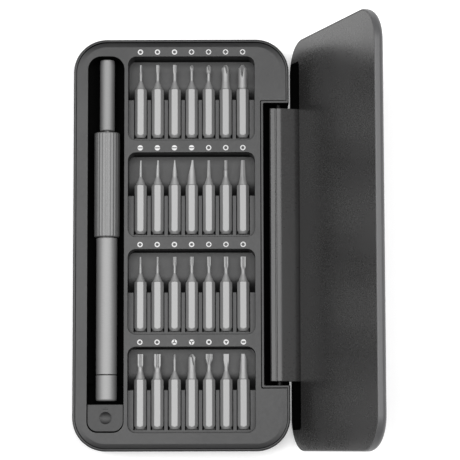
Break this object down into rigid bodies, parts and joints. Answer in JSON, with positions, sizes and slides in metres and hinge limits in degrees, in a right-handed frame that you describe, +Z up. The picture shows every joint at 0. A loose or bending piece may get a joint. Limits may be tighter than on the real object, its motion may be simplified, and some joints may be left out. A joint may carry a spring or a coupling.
{
  "type": "precision screwdriver set",
  "caption": "Flat hinged case with a moulded tray that holds a slim driver handle with a swivel end cap and rows of small hex-shank bits; lid open.",
  "frame": {"origin": "centre of the case's flat underside, on the surface that it stands on", "axes": "+Z up, +Y along the case towards the handle's bit socket, +X towards the hinge and the open lid"},
  "size_m": [0.1121, 0.1548, 0.0785],
  "materials": {
    "case_shell": "dark grey anodised, fine bead-blasted satin",
    "tray_plastic": "dark grey moulded plastic, fine grain, satin",
    "liner_plastic": "dark grey moulded plastic, smooth satin",
    "handle_aluminium": "grey anodised, satin",
    "grip_aluminium": "grey anodised with fine lengthwise flutes",
    "socket_steel": "turned steel, satin",
    "bit_steel": "satin plated tool steel",
    "plain_steel": "plain drawn steel",
    "magnet": "nickel plated"
  },
  "bodies": {
    "base": {"base_shell": "case_shell", "bit_tray": "tray_plastic", "hinge_pin_rear": "plain_steel", "hinge_pin_front": "plain_steel", "handle_magnet_rear": "magnet", "handle_magnet_front": "magnet", "base_magnet_rear": "magnet", "base_magnet_front": "magnet", "bit_magnet_1": "magnet", "bit_magnet_2": "magnet", "bit_magnet_3": "magnet", "bit_magnet_4": "magnet", "press_pad_pin": "plain_steel", "press_pad_spring": "plain_steel"},
    "lid": {"lid_shell": "case_shell", "lid_liner": "liner_plastic", "hinge_spine": "liner_plastic", "lid_magnet_rear": "magnet", "lid_magnet_front": "magnet"},
    "handle": {"bit_socket": "socket_steel", "socket_magnet": "magnet", "handle_grip": "grip_aluminium", "handle_body": "handle_aluminium", "cap_bearing": "plain_steel"},
    "end_cap": {"swivel_cap": "handle_aluminium"},
    "press_pad": {"press_pad": "tray_plastic"},
    "bit_pentalobe_p2": {"bit_pentalobe_p2": "bit_steel"},
    "bit_pentalobe_p5": {"bit_pentalobe_p5": "bit_steel"},
    "bit_pentalobe_p6": {"bit_pentalobe_p6": "bit_steel"},
    "bit_phillips_ph0000": {"bit_phillips_ph0000": "bit_steel"},
    "bit_phillips_ph000": {"bit_phillips_ph000": "bit_steel"},
    "bit_phillips_ph00": {"bit_phillips_ph00": "bit_steel"},
    "bit_phillips_ph1": {"bit_phillips_ph1": "bit_steel"},
    "bit_slotted_1_0": {"bit_slotted_1_0": "bit_steel"},
    "bit_slotted_1_5": {"bit_slotted_1_5": "bit_steel"},
    "bit_slotted_2_0": {"bit_slotted_2_0": "bit_steel"},
    "bit_slotted_3_0": {"bit_slotted_3_0": "bit_steel"},
    "bit_hex_0_9": {"bit_hex_0_9": "bit_steel"},
    "bit_hex_1_3": {"bit_hex_1_3": "bit_steel"},
    "bit_hex_1_5": {"bit_hex_1_5": "bit_steel"},
    "bit_torx_t2": {"bit_torx_t2": "bit_steel"},
    "bit_torx_t3": {"bit_torx_t3": "bit_steel"},
    "bit_torx_t4": {"bit_torx_t4": "bit_steel"},
    "bit_torx_t5": {"bit_torx_t5": "bit_steel"},
    "bit_torx_t6h": {"bit_torx_t6h": "bit_steel"},
    "bit_torx_t8h": {"bit_torx_t8h": "bit_steel"},
    "bit_torx_t9h": {"bit_torx_t9h": "bit_steel"},
    "bit_torx_t10h": {"bit_torx_t10h": "bit_steel"},
    "bit_torx_t15h": {"bit_torx_t15h": "bit_steel"},
    "bit_triwing_y0_6": {"bit_triwing_y0_6": "bit_steel"},
    "bit_triwing_y3_0": {"bit_triwing_y3_0": "bit_steel"},
    "bit_spline_s2": {"bit_spline_s2": "bit_steel"},
    "bit_triangle_2_3": {"bit_triangle_2_3": "bit_steel"},
    "bit_u_2_6": {"bit_u_2_6": "bit_steel"}
  },
  "joints": [
    {"name": "lid_hinge", "type": "hinge", "parent": "base", "child": "lid", "pos_m": [0.03668, 0, 0.00803], "axis": [0, 1, 0], "range_deg": [-109.8, 0]},
    {"name": "handle_lift", "type": "slide", "parent": "base", "child": "handle", "axis": [0, 0, 1], "range_m": [0, 0.03]},
    {"name": "cap_spin", "type": "hinge", "parent": "handle", "child": "end_cap", "pos_m": [-0.0282, -0.05, 0.0074], "axis": [0, 1, 0], "continuous": true},
    {"name": "pad_press", "type": "hinge", "parent": "base", "child": "press_pad", "pos_m": [-0.0282, -0.0615, 0.0093], "axis": [1, 0, 0], "range_deg": [0, 5], "stiffness_Nm_per_rad": 0.02, "springref_deg": -17.19},
    {"name": "slide_bit_pentalobe_p2", "type": "slide", "parent": "base", "child": "bit_pentalobe_p2", "axis": [0, 0, 1], "range_m": [0, 0.02]},
    {"name": "slide_bit_pentalobe_p5", "type": "slide", "parent": "base", "child": "bit_pentalobe_p5", "axis": [0, 0, 1], "range_m": [0, 0.02]},
    {"name": "slide_bit_pentalobe_p6", "type": "slide", "parent": "base", "child": "bit_pentalobe_p6", "axis": [0, 0, 1], "range_m": [0, 0.02]},
    {"name": "slide_bit_phillips_ph0000", "type": "slide", "parent": "base", "child": "bit_phillips_ph0000", "axis": [0, 0, 1], "range_m": [0, 0.02]},
    {"name": "slide_bit_phillips_ph000", "type": "slide", "parent": "base", "child": "bit_phillips_ph000", "axis": [0, 0, 1], "range_m": [0, 0.02]},
    {"name": "slide_bit_phillips_ph00", "type": "slide", "parent": "base", "child": "bit_phillips_ph00", "axis": [0, 0, 1], "range_m": [0, 0.02]},
    {"name": "slide_bit_phillips_ph1", "type": "slide", "parent": "base", "child": "bit_phillips_ph1", "axis": [0, 0, 1], "range_m": [0, 0.02]},
    {"name": "slide_bit_slotted_1_0", "type": "slide", "parent": "base", "child": "bit_slotted_1_0", "axis": [0, 0, 1], "range_m": [0, 0.02]},
    {"name": "slide_bit_slotted_1_5", "type": "slide", "parent": "base", "child": "bit_slotted_1_5", "axis": [0, 0, 1], "range_m": [0, 0.02]},
    {"name": "slide_bit_slotted_2_0", "type": "slide", "parent": "base", "child": "bit_slotted_2_0", "axis": [0, 0, 1], "range_m": [0, 0.02]},
    {"name": "slide_bit_slotted_3_0", "type": "slide", "parent": "base", "child": "bit_slotted_3_0", "axis": [0, 0, 1], "range_m": [0, 0.02]},
    {"name": "slide_bit_hex_0_9", "type": "slide", "parent": "base", "child": "bit_hex_0_9", "axis": [0, 0, 1], "range_m": [0, 0.02]},
    {"name": "slide_bit_hex_1_3", "type": "slide", "parent": "base", "child": "bit_hex_1_3", "axis": [0, 0, 1], "range_m": [0, 0.02]},
    {"name": "slide_bit_hex_1_5", "type": "slide", "parent": "base", "child": "bit_hex_1_5", "axis": [0, 0, 1], "range_m": [0, 0.02]},
    {"name": "slide_bit_torx_t2", "type": "slide", "parent": "base", "child": "bit_torx_t2", "axis": [0, 0, 1], "range_m": [0, 0.02]},
    {"name": "slide_bit_torx_t3", "type": "slide", "parent": "base", "child": "bit_torx_t3", "axis": [0, 0, 1], "range_m": [0, 0.02]},
    {"name": "slide_bit_torx_t4", "type": "slide", "parent": "base", "child": "bit_torx_t4", "axis": [0, 0, 1], "range_m": [0, 0.02]},
    {"name": "slide_bit_torx_t5", "type": "slide", "parent": "base", "child": "bit_torx_t5", "axis": [0, 0, 1], "range_m": [0, 0.02]},
    {"name": "slide_bit_torx_t6h", "type": "slide", "parent": "base", "child": "bit_torx_t6h", "axis": [0, 0, 1], "range_m": [0, 0.02]},
    {"name": "slide_bit_torx_t8h", "type": "slide", "parent": "base", "child": "bit_torx_t8h", "axis": [0, 0, 1], "range_m": [0, 0.02]},
    {"name": "slide_bit_torx_t9h", "type": "slide", "parent": "base", "child": "bit_torx_t9h", "axis": [0, 0, 1], "range_m": [0, 0.02]},
    {"name": "slide_bit_torx_t10h", "type": "slide", "parent": "base", "child": "bit_torx_t10h", "axis": [0, 0, 1], "range_m": [0, 0.02]},
    {"name": "slide_bit_torx_t15h", "type": "slide", "parent": "base", "child": "bit_torx_t15h", "axis": [0, 0, 1], "range_m": [0, 0.02]},
    {"name": "slide_bit_triwing_y0_6", "type": "slide", "parent": "base", "child": "bit_triwing_y0_6", "axis": [0, 0, 1], "range_m": [0, 0.02]},
    {"name": "slide_bit_triwing_y3_0", "type": "slide", "parent": "base", "child": "bit_triwing_y3_0", "axis": [0, 0, 1], "range_m": [0, 0.02]},
    {"name": "slide_bit_spline_s2", "type": "slide", "parent": "base", "child": "bit_spline_s2", "axis": [0, 0, 1], "range_m": [0, 0.02]},
    {"name": "slide_bit_triangle_2_3", "type": "slide", "parent": "base", "child": "bit_triangle_2_3", "axis": [0, 0, 1], "range_m": [0, 0.02]},
    {"name": "slide_bit_u_2_6", "type": "slide", "parent": "base", "child": "bit_u_2_6", "axis": [0, 0, 1], "range_m": [0, 0.02]}
  ]
}
